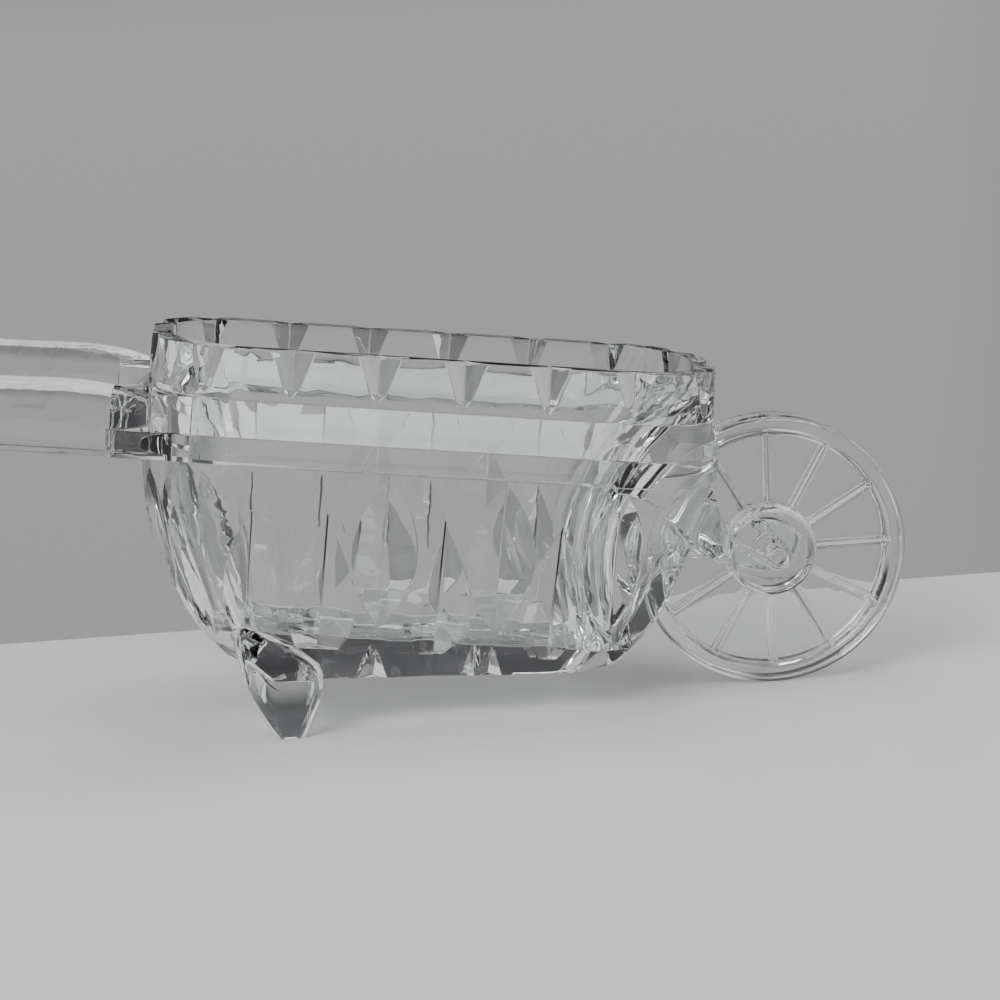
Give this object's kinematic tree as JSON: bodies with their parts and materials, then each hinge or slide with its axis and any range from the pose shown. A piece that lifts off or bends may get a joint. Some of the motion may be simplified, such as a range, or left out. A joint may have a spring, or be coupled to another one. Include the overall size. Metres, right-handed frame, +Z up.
{
  "type": "glass wheelbarrow dish",
  "caption": "Cut-pattern clear glass dish in the form of a wheelbarrow, with handles, feet and a loose glass wheel that turns in an open hooked fork.",
  "frame": {"origin": "middle of the bounding box in plan, on the surface that the feet and wheel stand on", "axes": "+X from the handles towards the wheel, +Z up, +Y to the left-hand side seen from the handles"},
  "size_m": [0.2398, 0.072, 0.0988],
  "materials": {
    "barrow_glass": "clear pressed crystal, fire-polished with mitre cuts",
    "wheel_glass": "clear pressed crystal, fire-polished"
  },
  "bodies": {
    "barrow": {"barrow": "barrow_glass"},
    "wheel": {"wheel": "wheel_glass"}
  },
  "joints": [
    {"name": "wheel_spin", "type": "hinge", "parent": "barrow", "child": "wheel", "pos_m": [0.08611, 0, 0.0338], "axis": [0, 1, 0], "continuous": true}
  ]
}
